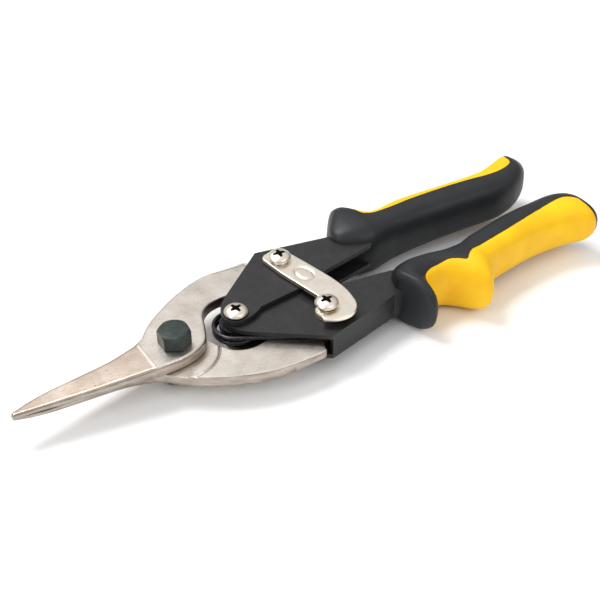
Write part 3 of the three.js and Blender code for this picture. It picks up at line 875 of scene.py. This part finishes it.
def grip(side, body, place, shape):
    """The black body, with a pocket for the pad, and the pad that fills it."""
    body_rows, pad_outer, pad_inner = [], [], []
    for x in stations(shape):
        y, z, middle, half = section(shape, x)
        n = len(y)
        inset = float(np.interp(x - shape["front"], [0, 0.3, 0.8, 1.5, 2.0], [2.2, 1.1, 0.45, 0.1, 0]))
        if inset:
            y, z = shrink(y, z, inset)
        edge = pad_edge(shape, x, y, z, half)
        z = z + lift(shape, x)
        by, bz, _ = by_length(y, z, BLACK_COLUMNS, edge, n - edge)
        py, pz, length = by_length(y, z, PAD_COLUMNS, n - edge, n + edge)
        # the pocket's floor lies inwards of the pad's outer points, towards the middle of the section
        depth = min(PAD_DEPTH, length / 4)
        dy, dz = middle - py, (lift(shape, x) - pz) * 0.9
        size = np.maximum(np.hypot(dy, dz), 1e-9)
        iy, iz = py + dy / size * depth, pz + dz / size * depth
        body_rows.append([(lean(shape, x, a), a, b) for a, b in zip(np.append(by, iy), np.append(bz, iz))])
        if edge:
            proud = np.full(PAD_COLUMNS + 1, PAD_PROUD)
            proud[0] = proud[-1] = -PAD_EDGE_IN
            proud[1] = proud[-2] = -0.04
            oy, oz = py - dy / size * proud, pz - dz / size * proud
            pad_outer.append([(lean(shape, x, a), a, b) for a, b in zip(oy, oz)])
            pad_inner.append([(lean(shape, x, a), a, b) for a, b in zip(iy, iz)][::-1])

    black = add_object(f"{side}_grip_moulded_body", *loft(body_rows), place, 50)
    finish(black, "black_grip", body, f"{side}_grip_body")
    rows = [a + b for a, b in zip(pad_outer, pad_inner)]
    yellow = add_object(f"{side}_grip_moulded_pad", *loft(rows), place, 50)
    finish(yellow, "yellow_grip", body, f"{side}_grip_pad")


grip("far", "far_handle", FAR, FAR_GRIP)
grip("near", "near_handle", NEAR, NEAR_GRIP)


# ---------------------------------------------------------------- CAD nodes kept as they are
SLOTS = {s["node"]: s["material_slot"] for s in frame["record"]["subparts"]}
for name, obj in nodes.items():
    if obj.hide_render:
        continue
    obj.data.materials.clear()
    obj.data.materials.append(MATERIALS[SLOTS[name]])
    obj.data.shade_smooth()
    obj.data.set_sharp_from_angle(angle=math.radians(30))
    bevel = obj.modifiers.new("edge", "BEVEL")
    bevel.width = (0.5 if "channel" in name else 0.25) * MM
    bevel.segments = 2
    bevel.limit_method = "ANGLE"
    bevel.angle_limit = math.radians(40)
    bevel.harden_normals = True


# ---------------------------------------------------------------- stage
def stage():
    mesh = bpy.data.meshes.new("floor")
    size = 3.0
    corners = [(-size, -size, 0), (size, -size, 0), (size, size, 0), (-size, size, 0)]
    mesh.from_pydata(corners, [], [(0, 1, 2, 3)])
    floor = bpy.data.objects.new("floor", mesh)
    bpy.context.scene.collection.objects.link(floor)

    def white(tree, shader):
        shader.inputs["Roughness"].default_value = 0.9
        shader.inputs["Specular IOR Level"].default_value = 0.1
        cloud = noise(tree, 0.004, 2)
        base = ramp(tree, cloud, [(0.3, (0.95, 0.95, 0.95)), (0.7, (0.97, 0.97, 0.97))])
        tree.links.new(base, shader.inputs["Base Color"])

    mesh.materials.append(material("floor_white", white))


stage()


def area_light(name, place, target, size, power, colour=(1, 1, 1)):
    data = bpy.data.lights.new(name, "AREA")
    data.shape = "RECTANGLE"
    data.size, data.size_y = size
    data.energy = power
    data.color = colour
    obj = bpy.data.objects.new(name, data)
    obj.location = place
    obj.rotation_euler = (Vector(target) - Vector(place)).to_track_quat("-Z", "Y").to_euler()
    bpy.context.scene.collection.objects.link(obj)
    return obj


centre = Vector((0.06, 0, 0.01))
area_light("key", (-0.35, 1.1, 2.1), centre, (1.1, 0.8), 36.0)
area_light("left", (-1.5, -0.2, 1.1), centre, (0.6, 1.0), 7.0)
area_light("front", (0.6, -1.6, 1.5), centre, (1.2, 0.6), 7.0)

# The room: brighter overhead than at the horizon.
world = bpy.data.worlds.new("studio")
bpy.context.scene.world = world
world.use_nodes = True
sky = world.node_tree
background = sky.nodes["Background"]
background.inputs["Strength"].default_value = 1.0
direction = node(sky, "ShaderNodeTexCoord")
split = node(sky, "ShaderNodeSeparateXYZ")
sky.links.new(direction.outputs["Generated"], split.inputs["Vector"])
shade = ramp(sky, split.outputs["Z"], [(0.0, (0.25,)), (0.35, (0.4,)), (0.62, (0.75,)), (1.0, (0.8,))])
sky.links.new(shade, background.inputs["Color"])
bpy.context.scene.view_settings.view_transform = "Standard"

# The camera looks down at the near side from the jaws' end, 0.43 m away.
azimuth, elevation, roll = (math.radians(a) for a in (-31.79, 39.05, -0.65))
right = Vector((math.cos(azimuth), math.sin(azimuth), 0))
level = Vector((math.sin(azimuth), -math.cos(azimuth), 0))
up = -level * math.sin(elevation) + Vector((0, 0, math.cos(elevation)))
back = level * math.cos(elevation) + Vector((0, 0, math.sin(elevation)))
right, up = right * math.cos(roll) + up * math.sin(roll), -right * math.sin(roll) + up * math.cos(roll)
across, above, distance = 46.0, 18.99, 432.99
place = across * right + above * up + distance * back + Vector((0, 0, MID))
camera_data = bpy.data.cameras.new("camera")
camera_data.sensor_width = 36
camera_data.lens = 70.2042
camera_data.clip_start = 0.01
camera = bpy.data.objects.new("camera", camera_data)
camera.matrix_world = Matrix.Translation(place * MM) @ Matrix((right, up, back)).transposed().to_4x4()
bpy.context.scene.collection.objects.link(camera)
bpy.context.scene.camera = camera

bpy.context.view_layer.update()
